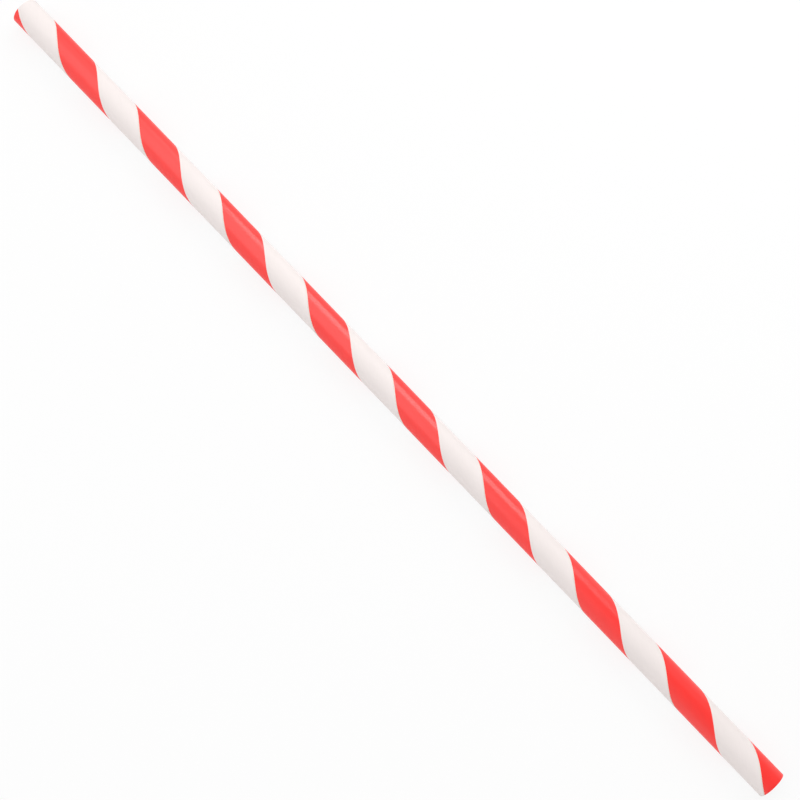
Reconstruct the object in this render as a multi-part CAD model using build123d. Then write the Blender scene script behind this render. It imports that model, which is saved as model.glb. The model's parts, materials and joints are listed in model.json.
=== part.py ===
from build123d import *
from math import asin, degrees, radians, sqrt, tan
import os

# A paper drinking straw, wound from three strips of paper on a mandrel and cut square to length.
# The strips, or plies, are glued face to face into one wall, so the straw is one solid.
# It lies on its side: its length runs along +X, +Z is up and the origin is on the surface
# that it rests on, under the middle of its length. All sizes are in millimetres.

# The finished tube
straw_length = 215.0
outer_diameter = 6.0

# The width of the faint flat on which the paper tube lies, a few hundredths of a millimetre deep
resting_flat = 1.0

# The plies, each with its film of glue: a thin printed cover over two thicker ones
cover_ply = 0.09
middle_ply = 0.155
lining_ply = 0.155

# The winding: every ply goes forward by one lead in each turn, so its two edges meet in a
# seam that runs down the straw as a right-handed helix. A seam is open by a hair at its
# floor, and the slit edges on either side lean back from it, in degrees.
winding_lead = 25.0
cover_seam_gap = 0.06
lining_seam_gap = 0.25
slit_edge_lean = 20.0

# Where the seams cross the middle of the length, as angles about the straw's axis that start
# at its +Y side and go up over the top. The cover's seam is where white print turns to red.
cover_seam_angle = 38.9
lining_seam_angle = 247.0

# How far the seams are cut past the ends and the surface of the paper
cutter_overrun = 0.5

outer_radius = outer_diameter / 2
bore_radius = outer_radius - cover_ply - middle_ply - lining_ply
axis_height = sqrt(outer_radius**2 - (resting_flat / 2) ** 2)


def paper_wall():
    """The glued wall of the tube, standing on its axis and centred on it, cut square at both ends.

    The flat is on its -Y side.
    """
    flat_reach = degrees(asin(resting_flat / 2 / outer_radius))
    round_side = CenterArc((0, 0), outer_radius, flat_reach - 90, 360 - 2 * flat_reach)
    flat_side = Line(round_side @ 1, round_side @ 0)
    ring = make_face([round_side, flat_side]) - Circle(bore_radius)
    return extrude(ring, straw_length / 2, both=True)


def seam(angle, gap, floor_radius, mouth_radius):
    """The open helical seam of one ply, from its floor to its mouth, as a solid to cut away."""
    reach = straw_length / 2 + cutter_overrun
    path = Helix(winding_lead, 2 * reach, outer_radius, center=(0, 0, -reach))
    floor = floor_radius - outer_radius
    mouth = mouth_radius - outer_radius
    floor_half = gap / 2
    mouth_half = floor_half + abs(mouth - floor) * tan(radians(slit_edge_lean))
    outline = Polyline(
        (floor, -floor_half),
        (mouth, -mouth_half),
        (mouth, mouth_half),
        (floor, floor_half),
        close=True,
    )
    across = Plane(origin=path @ 0, x_dir=(1, 0, 0), z_dir=path % 0)
    start_angle = angle - 360 * reach / winding_lead
    return Rot(0, 0, start_angle) * sweep(across * make_face(outline), path=path, is_frenet=True)


def paper_straw():
    """The wall with the seam of its cover outside and the seam of its lining in the bore."""
    cover_seam = seam(
        cover_seam_angle,
        cover_seam_gap,
        outer_radius - cover_ply,
        outer_radius + cutter_overrun,
    )
    lining_seam = seam(
        lining_seam_angle,
        lining_seam_gap,
        bore_radius + lining_ply,
        bore_radius - cutter_overrun,
    )
    return paper_wall() - cover_seam - lining_seam


# The straw is modelled along its own axis and then laid down on its flat
lying = Plane(origin=(0, 0, axis_height), x_dir=(0, 1, 0), z_dir=(1, 0, 0))
straw_tube = lying * paper_straw()

os.makedirs("parts", exist_ok=True)
export_step(straw_tube, "parts/straw_tube.step")
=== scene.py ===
import bpy
import json
import math
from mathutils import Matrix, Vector


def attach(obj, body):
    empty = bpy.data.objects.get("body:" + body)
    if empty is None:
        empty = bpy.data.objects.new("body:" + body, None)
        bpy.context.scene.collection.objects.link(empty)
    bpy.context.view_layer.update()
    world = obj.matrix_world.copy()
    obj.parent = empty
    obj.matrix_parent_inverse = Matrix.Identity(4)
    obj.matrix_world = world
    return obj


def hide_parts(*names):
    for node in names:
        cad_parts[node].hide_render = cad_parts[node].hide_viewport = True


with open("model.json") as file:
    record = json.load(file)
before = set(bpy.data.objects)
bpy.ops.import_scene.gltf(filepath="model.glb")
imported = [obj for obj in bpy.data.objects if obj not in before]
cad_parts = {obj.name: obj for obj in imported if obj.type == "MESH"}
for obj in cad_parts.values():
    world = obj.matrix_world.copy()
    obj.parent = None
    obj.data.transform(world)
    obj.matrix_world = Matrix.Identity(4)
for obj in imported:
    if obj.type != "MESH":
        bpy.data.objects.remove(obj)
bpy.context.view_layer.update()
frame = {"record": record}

# The camera. The photograph looks down on the straw from 29 cm, about 9 degrees off the
# vertical, through a short telephoto lens, so that the straw runs from corner to corner.
lens = bpy.data.cameras.new("camera")
lens.sensor_width = 36.0
lens.lens = 66.067
lens.clip_start = 0.01
camera = bpy.data.objects.new("camera", lens)
camera.location = (0.0388438, -0.0321493, 0.2900255)
camera.rotation_euler = (math.radians(9.2158), 0, math.radians(46.4237))
bpy.context.scene.collection.objects.link(camera)
bpy.context.scene.camera = camera
bpy.context.scene.view_settings.view_transform = "Standard"

# The straw: three strips of paper wound as a right-handed spiral on a mandrel, glued face to
# face and cut square with a knife. The cover strip is printed red along half of its width
# and left white along the other. Its two slit edges meet in a seam, as the lining's do.
mounts = {mount["name"]: mount for mount in frame["record"]["mounts"]}
axis_height = mounts["outside"]["pos_m"][2]
outer_radius = mounts["outside"]["dims"]["r_mm"] / 1000
bore_radius = mounts["bore"]["dims"]["r_mm"] / 1000
straw_length = mounts["outside"]["dims"]["length_mm"] / 1000
winding_turn = 0.025
cover_ply = 0.00009
lining_ply = 0.000155
cover_seam_gap = 0.00006
lining_seam_gap = 0.00025
slit_edge_lean = math.radians(20)
cover_seam_angle = math.radians(38.9)
lining_seam_angle = math.radians(247.0)
cockle_depth = 0.00001
fray_depth = 0.00004
glue_line_depth = 0.000012


def node(tree, kind, inputs=None, **settings):
    """A new node in the tree. An input that is given as a socket is joined to it."""
    made = tree.nodes.new(kind)
    for name, value in settings.items():
        setattr(made, name, value)
    for key, value in (inputs or {}).items():
        if isinstance(value, bpy.types.NodeSocket):
            tree.links.new(value, made.inputs[key])
        else:
            made.inputs[key].default_value = value
    return made


def reckon(tree, operation, *values):
    """The result of one Math node."""
    return node(tree, "ShaderNodeMath", dict(enumerate(values)), operation=operation).outputs[0]


def between(tree, share, start, end):
    """The value that lies that share of the way from start to end."""
    return node(tree, "ShaderNodeMix", {0: share, 2: start, 3: end}).outputs[0]


def tree_with(kind, name, inputs, outputs):
    """A node tree with those sockets, and what it is given and gives."""
    tree = bpy.data.node_groups.new(name, kind)
    for words, way in ((inputs, "INPUT"), (outputs, "OUTPUT")):
        for socket, form in words.items():
            tree.interface.new_socket(socket, in_out=way, socket_type="NodeSocket" + form)
    return tree, node(tree, "NodeGroupInput").outputs, node(tree, "NodeGroupOutput").inputs


def open_seam():
    """Draws the nearest columns of the wall to a ply's seam, two to its mouth and two to its floor."""
    sizes = ("Angle", "Seam Angle", "Column Step", "Turn", "Gap", "Lean", "Floor Radius", "Mouth Radius")
    found = ("Angle", "Open")
    tree, given, out = tree_with(
        "GeometryNodeTree", "open seam", dict.fromkeys(sizes, "Float"), dict.fromkeys(found, "Float")
    )

    def half_angle(width, radius):
        """The angle about the straw that a width across the slanting seam takes up."""
        around = reckon(tree, "POWER", reckon(tree, "DIVIDE", 1.0, radius), 2.0)
        along = reckon(tree, "POWER", reckon(tree, "DIVIDE", 2 * math.pi, given["Turn"]), 2.0)
        return reckon(tree, "MULTIPLY", width, reckon(tree, "SQRT", reckon(tree, "ADD", around, along)))

    away = reckon(tree, "SUBTRACT", given["Angle"], given["Seam Angle"])
    away = reckon(tree, "WRAP", away, math.pi, -math.pi)
    distance = reckon(tree, "ABSOLUTE", away)
    on_floor = reckon(tree, "LESS_THAN", distance, given["Column Step"])
    in_seam = reckon(tree, "LESS_THAN", distance, reckon(tree, "MULTIPLY", given["Column Step"], 2.0))
    depth = reckon(tree, "SUBTRACT", given["Mouth Radius"], given["Floor Radius"])
    depth = reckon(tree, "ABSOLUTE", depth)
    slope = reckon(tree, "TANGENT", given["Lean"])
    half_floor = reckon(tree, "MULTIPLY", given["Gap"], 0.5)
    half_mouth = reckon(tree, "MULTIPLY_ADD", depth, slope, half_floor)
    floor_angle = half_angle(half_floor, given["Floor Radius"])
    mouth_angle = half_angle(half_mouth, given["Mouth Radius"])
    drawn = between(tree, on_floor, mouth_angle, floor_angle)
    drawn = reckon(tree, "MULTIPLY", drawn, reckon(tree, "SIGN", away))
    moved = reckon(tree, "ADD", given["Seam Angle"], between(tree, in_seam, away, drawn))
    tree.links.new(moved, out["Angle"])
    tree.links.new(on_floor, out["Open"])
    return tree


def winding():
    """The tree that winds the wall.

    Its rows go along the outside, across the far cut, back down the bore and across the near cut.
    Its columns follow the paper's spiral, so that the seams are crisp.
    """
    lengths = (
        "Length", "Outer Radius", "Bore Radius", "Axis Height", "Turn", "Cover Ply", "Lining Ply",
        "Cover Gap", "Lining Gap", "Slit Lean", "Cover Seam Angle", "Lining Seam Angle",
        "Cockle", "Fray", "Glue Line Depth", "Seed",
    )
    counts = ("Columns", "Rows Outside", "Rows Inside", "Rows Across Cut")
    papers = ("Printed Paper", "Bare Paper", "Cut Paper")
    sockets = {"Wall": "Geometry"}
    for names, form in ((lengths, "Float"), (counts, "Int"), (papers, "Material")):
        sockets.update(dict.fromkeys(names, form))
    tree, given, out = tree_with("GeometryNodeTree", "wound straw", sockets, {"Straw": "Geometry"})

    def maths(operation, *values):
        return reckon(tree, operation, *values)

    def clamped(value, start, steps):
        """How far the value has gone from the start in that many steps, from 0 to 1."""
        share = maths("DIVIDE", maths("SUBTRACT", value, start), steps)
        return maths("MINIMUM", maths("MAXIMUM", share, 0.0), 1.0)

    columns, outside_rows, inside_rows, cut_rows = (given[name] for name in counts)
    rows = maths("ADD", maths("ADD", outside_rows, inside_rows), maths("MULTIPLY", cut_rows, 2.0))
    loop_along = node(tree, "GeometryNodeCurvePrimitiveCircle", {"Resolution": rows, "Radius": 1.0})
    loop_around = node(tree, "GeometryNodeCurvePrimitiveCircle", {"Resolution": columns, "Radius": 0.1})
    wall = node(tree, "GeometryNodeCurveToMesh", {
        "Curve": loop_along.outputs[0], "Profile Curve": loop_around.outputs[0],
    })

    index = node(tree, "GeometryNodeInputIndex").outputs[0]
    row = maths("FLOOR", maths("DIVIDE", index, columns))
    column = maths("SUBTRACT", index, maths("MULTIPLY", row, columns))

    # Where a row lies along the straw, 0 to 1, and across its wall, 0 outside to 1 in the bore.
    # The rows next to the cuts stand a fifth of a step from them, so the corners stay sharp.
    drawn_in = 0.8
    last_outside = maths("SUBTRACT", outside_rows, 1.0)
    first_inside = maths("ADD", outside_rows, cut_rows)
    last_inside = maths("SUBTRACT", maths("ADD", first_inside, inside_rows), 1.0)
    cut_steps = maths("ADD", cut_rows, 1.0)
    along = maths(
        "SUBTRACT",
        clamped(row, drawn_in, maths("SUBTRACT", last_outside, 2 * drawn_in)),
        clamped(row, maths("ADD", first_inside, drawn_in), maths("SUBTRACT", inside_rows, 1 + 2 * drawn_in)),
    )
    across_far = clamped(row, last_outside, cut_steps)
    across = maths("SUBTRACT", across_far, clamped(row, last_inside, cut_steps))

    # The angle of a column on the strip, and how far the two seams open the wall there
    step = maths("DIVIDE", 2 * math.pi, columns)
    angle = maths("MULTIPLY", maths("ADD", column, 0.5), step)
    seam = open_seam()

    def opened(angle, seam_angle, gap, floor_radius, mouth_radius):
        return node(tree, "GeometryNodeGroup", {
            "Angle": angle, "Seam Angle": seam_angle, "Column Step": step, "Turn": given["Turn"],
            "Gap": gap, "Lean": given["Slit Lean"],
            "Floor Radius": floor_radius, "Mouth Radius": mouth_radius,
        }, node_tree=seam)

    cover_floor = maths("SUBTRACT", given["Outer Radius"], given["Cover Ply"])
    cover = opened(angle, 0.0, given["Cover Gap"], cover_floor, given["Outer Radius"])
    lining_floor = maths("ADD", given["Bore Radius"], given["Lining Ply"])
    lining_angle = maths("SUBTRACT", given["Lining Seam Angle"], given["Cover Seam Angle"])
    lining = opened(
        cover.outputs["Angle"], lining_angle, given["Lining Gap"], lining_floor, given["Bore Radius"]
    )
    open_outside = between(tree, cover.outputs["Open"], given["Outer Radius"], cover_floor)
    open_inside = between(tree, lining.outputs["Open"], given["Bore Radius"], lining_floor)
    radius = between(tree, across, open_outside, open_inside)

    # Paper cockles a little as its glue dries, and a knife leaves its edge uneven
    cockle_size = 0.004
    fray_size = 0.0004
    fray_inwards = 0.6
    end_reach = 0.00001
    x = maths("MULTIPLY", maths("SUBTRACT", along, 0.5), given["Length"])
    strip_angle = lining.outputs["Angle"]

    def unevenness(turned, size, detail):
        """Noise of that size over the paper, at that angle about the straw."""
        on_paper = node(tree, "ShaderNodeCombineXYZ", {
            0: x,
            1: maths("MULTIPLY", given["Outer Radius"], maths("COSINE", turned)),
            2: maths("MULTIPLY", given["Outer Radius"], maths("SINE", turned)),
        })
        return node(tree, "ShaderNodeTexNoise", {
            "Vector": on_paper.outputs[0], "W": given["Seed"], "Scale": 1 / size, "Detail": detail,
        }, noise_dimensions="4D").outputs[0]

    turned = maths("MULTIPLY_ADD", maths("DIVIDE", x, given["Turn"]), 2 * math.pi, strip_angle)
    turned = maths("ADD", turned, given["Cover Seam Angle"])
    outer_share = maths("SUBTRACT", 1.0, across)
    cockle = maths("MULTIPLY", unevenness(strip_angle, cockle_size, 1.0), given["Cockle"])
    radius = maths("SUBTRACT", radius, maths("MULTIPLY", cockle, outer_share))
    from_end = maths("SUBTRACT", maths("MULTIPLY", given["Length"], 0.5), maths("ABSOLUTE", x))
    at_end = maths("LESS_THAN", from_end, end_reach)
    fray = maths("MULTIPLY", unevenness(turned, fray_size, 3.0), given["Fray"])
    fray = maths("MULTIPLY", fray, at_end)
    frayed_in = maths("MULTIPLY", fray, fray_inwards)
    radius = maths("SUBTRACT", radius, maths("MULTIPLY", frayed_in, outer_share))

    # The glue lines lie a hair below the cut edges of the plies
    wall_thickness = maths("SUBTRACT", given["Outer Radius"], given["Bore Radius"])
    glue = 0.0
    for depth in (given["Cover Ply"], maths("SUBTRACT", wall_thickness, given["Lining Ply"])):
        off = maths("ABSOLUTE", maths("SUBTRACT", across, maths("DIVIDE", depth, wall_thickness)))
        line = maths("MAXIMUM", maths("SUBTRACT", 1.0, maths("MULTIPLY", off, cut_steps)), 0.0)
        glue = maths("ADD", glue, line)
    recess = maths("ADD", fray, maths("MULTIPLY", maths("MULTIPLY", glue, given["Glue Line Depth"]), at_end))
    x = maths("SUBTRACT", x, maths("MULTIPLY", recess, maths("SIGN", x)))

    # The wall goes round with the turns and lies on its faint flat
    height = maths("MULTIPLY_ADD", radius, maths("SINE", turned), given["Axis Height"])
    place = node(tree, "ShaderNodeCombineXYZ", {
        0: x, 1: maths("MULTIPLY", radius, maths("COSINE", turned)), 2: maths("MAXIMUM", height, 0.0),
    })
    kept = node(tree, "GeometryNodeCaptureAttribute", {"Geometry": wall.outputs[0]})
    for name, value in (("across", across), ("open", cover.outputs["Open"])):
        kept.capture_items.new("FLOAT", name)
        tree.links.new(value, kept.inputs[name])
    wound = node(
        tree, "GeometryNodeSetPosition", {"Geometry": kept.outputs["Geometry"], "Position": place.outputs[0]}
    )

    def chosen(value, operation, limit):
        return node(tree, "FunctionNodeCompare", {0: value, 1: limit}, operation=operation).outputs[0]

    def joined(operation, first, second):
        return node(tree, "FunctionNodeBooleanMath", {0: first, 1: second}, operation=operation).outputs[0]

    # The bore and the cover seam's floor are bare paper, and the two ends are cut paper
    margin = 0.01
    in_bore = chosen(kept.outputs["across"], "GREATER_THAN", 1 - margin)
    under_print = chosen(kept.outputs["across"], "GREATER_THAN", margin)
    short_of_bore = chosen(kept.outputs["across"], "LESS_THAN", 1 - margin)
    on_cut = joined("AND", under_print, short_of_bore)
    in_seam = chosen(kept.outputs["open"], "GREATER_THAN", 0.25)
    shaped = wound.outputs[0]
    is_bare = joined("OR", in_bore, in_seam)
    for name, where in (("Printed Paper", True), ("Bare Paper", is_bare), ("Cut Paper", on_cut)):
        shaped = node(tree, "GeometryNodeSetMaterial", {
            "Geometry": shaped, "Selection": where, "Material": given[name],
        }).outputs[0]

    # The paper's surface is smooth, with a sharp corner at each cut and slit edge
    corner = math.radians(30)
    edge_angle = node(tree, "GeometryNodeInputMeshEdgeAngle").outputs[0]
    is_corner = chosen(edge_angle, "GREATER_THAN", corner)
    for domain, where, smooth in (("FACE", True, True), ("EDGE", is_corner, False)):
        shaped = node(
            tree, "GeometryNodeSetShadeSmooth",
            {"Geometry": shaped, "Selection": where, "Shade Smooth": smooth}, domain=domain,
        ).outputs[0]
    straw = node(tree, "GeometryNodeRealizeInstances", {"Geometry": shaped})
    tree.links.new(straw.outputs[0], out["Straw"])
    return tree


def wound_fibres():
    """Shading of wound paper: its fibres run with the strip, and red ink covers half of its width."""
    sizes = ("Axis Height", "Turn", "Seam Angle", "Fibre Length", "Fibre Width", "Cloud Size")
    tree, given, out = tree_with(
        "ShaderNodeTree", "wound paper fibres", dict.fromkeys(sizes, "Float"),
        dict.fromkeys(("From Seam", "Fibres", "Relief"), "Float"),
    )
    place = node(tree, "ShaderNodeTexCoord").outputs["Object"]
    x = node(tree, "ShaderNodeSeparateXYZ", {0: place}).outputs["X"]
    turns = reckon(tree, "DIVIDE", x, given["Turn"])
    turned = reckon(tree, "MULTIPLY_ADD", turns, 2 * math.pi, given["Seam Angle"])
    back = reckon(tree, "MULTIPLY", turned, -1.0)
    centre = node(tree, "ShaderNodeCombineXYZ", {2: given["Axis Height"]}).outputs[0]
    from_axis = node(tree, "ShaderNodeVectorMath", {0: place, 1: centre}, operation="SUBTRACT").outputs[0]
    unwound = node(
        tree, "ShaderNodeVectorRotate", {"Vector": from_axis, "Angle": back}, rotation_type="X_AXIS"
    ).outputs[0]
    tree.links.new(node(tree, "ShaderNodeSeparateXYZ", {0: unwound}).outputs["Z"], out["From Seam"])
    width = given["Fibre Width"]
    fibre_size = node(tree, "ShaderNodeCombineXYZ", {0: given["Fibre Length"], 1: width, 2: width}).outputs[0]
    on_strip = node(tree, "ShaderNodeVectorMath", {0: unwound, 1: fibre_size}, operation="DIVIDE").outputs[0]
    fibres = node(tree, "ShaderNodeTexNoise", {
        "Vector": on_strip, "Scale": 1.0, "Detail": 4.0, "Roughness": 0.6, "Distortion": 0.4,
    }).outputs[0]
    cloud_scale = reckon(tree, "DIVIDE", 1.0, given["Cloud Size"])
    clouds = node(
        tree, "ShaderNodeTexNoise", {"Vector": unwound, "Scale": cloud_scale, "Detail": 3.0}
    ).outputs[0]
    cloud_share = 0.6
    tree.links.new(fibres, out["Fibres"])
    tree.links.new(reckon(tree, "MULTIPLY_ADD", clouds, cloud_share, fibres), out["Relief"])
    return tree


fibre_tree = wound_fibres()


def paper(name, fibre_length, fibre_width, cloud_size, relief, roughness):
    """A material of wound paper, with its shader and the values of its fibres."""
    material = bpy.data.materials.new(name)
    material.use_nodes = True
    tree = material.node_tree
    shader = tree.nodes["Principled BSDF"]
    fibres = node(tree, "ShaderNodeGroup", node_tree=fibre_tree)
    for socket, value in (
        ("Axis Height", axis_height), ("Turn", winding_turn), ("Seam Angle", cover_seam_angle),
        ("Fibre Length", fibre_length), ("Fibre Width", fibre_width), ("Cloud Size", cloud_size),
    ):
        fibres.inputs[socket].default_value = value
    height = fibres.outputs["Relief"]
    bump = node(tree, "ShaderNodeBump", {"Height": height, "Distance": relief, "Strength": 1.0})
    tree.links.new(bump.outputs[0], shader.inputs["Normal"])
    change = 0.16
    uneven = reckon(tree, "MULTIPLY_ADD", fibres.outputs["Fibres"], change, roughness - change / 2)
    tree.links.new(uneven, shader.inputs["Roughness"])
    return material, tree, shader, fibres.outputs


def shade(tree, colour, amount, value):
    """A colour made lighter and darker by a value round one half, by that amount."""
    light = reckon(tree, "MULTIPLY_ADD", value, amount, 1 - amount / 2)
    return node(tree, "ShaderNodeVectorMath", {0: colour, 3: light}, operation="SCALE").outputs[0]


# The cover is smooth white paper of 60 g/m2. Its ink is a glossier film with a slightly ragged
# edge, whose sheen fades where the paper turns away.
ink_edge = 0.00004
ink_gloss = 0.95
ink_gloss_at_rim = 0.35
printed, tree, shader, values = paper("printed cover paper", 0.0016, 0.00016, 0.0009, 0.000009, 0.50)
white = shade(tree, (0.824, 0.757, 0.738), 0.08, values["Fibres"])
red = shade(tree, (0.96, 0.018, 0.012), 0.12, values["Fibres"])
ragged = reckon(tree, "MULTIPLY_ADD", values["Fibres"], ink_edge * 2, -ink_edge)
past_edge = reckon(tree, "DIVIDE", reckon(tree, "ADD", values["From Seam"], ragged), ink_edge)
inked = node(tree, "ShaderNodeMapRange", {
    "Value": past_edge, "From Min": 0.5, "From Max": -0.5, "To Min": 0.0, "To Max": 1.0,
}).outputs[0]
colour = node(tree, "ShaderNodeMix", {0: inked, 6: white, 7: red}, data_type="RGBA")
tree.links.new(colour.outputs[2], shader.inputs["Base Color"])
facing = node(tree, "ShaderNodeLayerWeight", {"Blend": 0.5}).outputs["Facing"]
film = node(tree, "ShaderNodeMapRange", {
    "Value": facing, "From Min": 0.2, "From Max": 0.6, "To Min": ink_gloss, "To Max": ink_gloss_at_rim,
}, interpolation_type="SMOOTHSTEP").outputs[0]
tree.links.new(reckon(tree, "MULTIPLY", inked, film), shader.inputs["Coat Weight"])
shader.inputs["Coat Roughness"].default_value = 0.26
shader.inputs["Specular IOR Level"].default_value = 0.35

# The lining and the ply under the cover's seam are bare, rougher and a little creamier
bare, tree, shader, values = paper("bare paper", 0.0020, 0.00020, 0.0012, 0.000012, 0.78)
cream = shade(tree, (0.83, 0.78, 0.71), 0.10, values["Fibres"])
tree.links.new(cream, shader.inputs["Base Color"])

# The knife leaves the ends of the plies fuzzy, with the glue between them as two darker rings
glue_line = 0.00002
cut, tree, shader, values = paper("cut edge of the plies", 0.0003, 0.00010, 0.0005, 0.00001, 0.85)
place = node(tree, "ShaderNodeTexCoord").outputs["Object"]
around = node(tree, "ShaderNodeSeparateXYZ", {0: place})
height = reckon(tree, "SUBTRACT", around.outputs["Z"], axis_height)
squares = reckon(tree, "POWER", around.outputs["Y"], 2.0)
squares = reckon(tree, "ADD", squares, reckon(tree, "POWER", height, 2.0))
radius = reckon(tree, "SQRT", squares)
dry_glue = (0.52, 0.43, 0.32, 1)
colour = shade(tree, (0.84, 0.79, 0.74), 0.14, values["Fibres"])
for ring in (outer_radius - cover_ply, bore_radius + lining_ply):
    off = reckon(tree, "ABSOLUTE", reckon(tree, "SUBTRACT", radius, ring))
    glued = node(tree, "ShaderNodeMapRange", {
        "Value": reckon(tree, "DIVIDE", off, glue_line),
        "From Min": 0.5, "From Max": 1.5, "To Min": 0.7, "To Max": 0.0,
    }).outputs[0]
    colour = node(tree, "ShaderNodeMix", {0: glued, 6: colour, 7: dry_glue}, data_type="RGBA").outputs[2]
tree.links.new(colour, shader.inputs["Base Color"])

straw = bpy.data.objects.new("paper_straw", bpy.data.meshes.new("paper_straw"))
bpy.context.scene.collection.objects.link(straw)
wind = straw.modifiers.new("winding", "NODES")
wind.node_group = winding()
wound_sizes = {
    "Length": straw_length, "Outer Radius": outer_radius, "Bore Radius": bore_radius,
    "Axis Height": axis_height, "Turn": winding_turn, "Cover Ply": cover_ply, "Lining Ply": lining_ply,
    "Cover Gap": cover_seam_gap, "Lining Gap": lining_seam_gap, "Slit Lean": slit_edge_lean,
    "Cover Seam Angle": cover_seam_angle, "Lining Seam Angle": lining_seam_angle,
    "Cockle": cockle_depth, "Fray": fray_depth, "Glue Line Depth": glue_line_depth, "Seed": 3.0,
    "Columns": 96, "Rows Outside": 545, "Rows Inside": 401, "Rows Across Cut": 11,
    "Printed Paper": printed, "Bare Paper": bare, "Cut Paper": cut,
}
for socket in wind.node_group.interface.items_tree:
    if socket.name in wound_sizes:
        wind[socket.identifier] = wound_sizes[socket.name]
graph = bpy.context.evaluated_depsgraph_get()
wall = bpy.data.meshes.new_from_object(straw.evaluated_get(graph), depsgraph=graph)
straw.modifiers.remove(wind)
straw.data = wall
wall.name = "paper_straw"
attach(straw, "root")
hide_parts("straw_tube")

# The table: a wide sheet of matt white card. To the camera and in reflections most of it is
# plain white, like the page behind a cut-out, and the rest takes the straw's soft shadow.
reach = 4.0
card_grain = 0.0025
page_share = 0.85
corners = [(-reach, -reach, 0), (reach, -reach, 0), (reach, reach, 0), (-reach, reach, 0)]
card = bpy.data.meshes.new("white_card")
card.from_pydata(corners, [], [(0, 1, 2, 3)])
table = bpy.data.objects.new("white_card", card)
bpy.context.scene.collection.objects.link(table)
material = bpy.data.materials.new("white card")
material.use_nodes = True
tree = material.node_tree
tree.nodes.clear()
place = node(tree, "ShaderNodeTexCoord").outputs["Object"]
grain = node(tree, "ShaderNodeTexNoise", {"Vector": place, "Scale": 1 / card_grain})
tone = shade(tree, (0.86, 0.86, 0.86), 0.02, grain.outputs[0])
matt = node(tree, "ShaderNodeBsdfDiffuse", {"Color": tone})
page = node(tree, "ShaderNodeEmission", {"Color": (1, 1, 1, 1), "Strength": 1.0})
rays = node(tree, "ShaderNodeLightPath").outputs
seen = reckon(tree, "MAXIMUM", rays["Is Camera Ray"], rays["Is Glossy Ray"])
seen = reckon(tree, "MAXIMUM", seen, rays["Is Transmission Ray"])
share = reckon(tree, "MULTIPLY", seen, page_share)
both = node(tree, "ShaderNodeMixShader", {0: share, 1: matt.outputs[0], 2: page.outputs[0]})
tree.links.new(both.outputs[0], node(tree, "ShaderNodeOutputMaterial").inputs["Surface"])
card.materials.append(material)

# The light: a white tent with two broad soft lamps. The tent is dimmer towards +X and, low
# down, beyond the straw, so the print keeps its depth. One lamp stands beyond the straw and
# draws the sheen down its length, and the other hangs over the -X end.
tent = bpy.data.worlds.new("white tent")
bpy.context.scene.world = tent
tent.use_nodes = True
tree = tent.node_tree
tree.nodes.clear()
towards = node(tree, "ShaderNodeTexCoord").outputs["Generated"]


def falling(tree, towards, way, start, end, first, last):
    """A value that goes softly from first to last as the direction turns that way."""
    turned = node(tree, "ShaderNodeVectorMath", {0: towards, 1: way}, operation="DOT_PRODUCT")
    return node(tree, "ShaderNodeMapRange", {
        "Value": turned.outputs["Value"],
        "From Min": start, "From Max": end, "To Min": first, "To Max": last,
    }, interpolation_type="SMOOTHSTEP").outputs[0]


up = (0, 0, 1)
skirt = 0.97
walls = falling(tree, towards, (0.50, 0.85, 0), -0.6, 0.6, 1.0, 0.45)
roof = falling(tree, towards, (0.97, 0.22, 0), -0.1, 0.1, 1.03, 0.28)
strength = between(tree, falling(tree, towards, up, 0.2, 0.4, 0.0, 1.0), walls, roof)
strength = between(tree, falling(tree, towards, up, 0.10, 0.18, 0.0, 1.0), skirt, strength)
sky = node(tree, "ShaderNodeBackground", {"Color": (1, 1, 1, 1), "Strength": strength})
tree.links.new(sky.outputs[0], node(tree, "ShaderNodeOutputWorld").inputs["Surface"])
for name, place, aim, width, depth, power in (
    ("soft lamp", (-0.06, 0.394, 0.308), (0, 0, 0), 0.28, 0.34, 1.02),
    ("overhead lamp", (-0.20, -0.12, 0.50), (-0.20, -0.12, 0), 0.48, 0.75, 1.02),
):
    lamp = bpy.data.lights.new(name, "AREA")
    lamp.shape = "RECTANGLE"
    lamp.size = width
    lamp.size_y = depth
    lamp.energy = power
    stand = bpy.data.objects.new(name, lamp)
    stand.location = place
    stand.rotation_euler = (Vector(place) - Vector(aim)).to_track_quat("Z", "Y").to_euler()
    bpy.context.scene.collection.objects.link(stand)

bpy.context.view_layer.update()
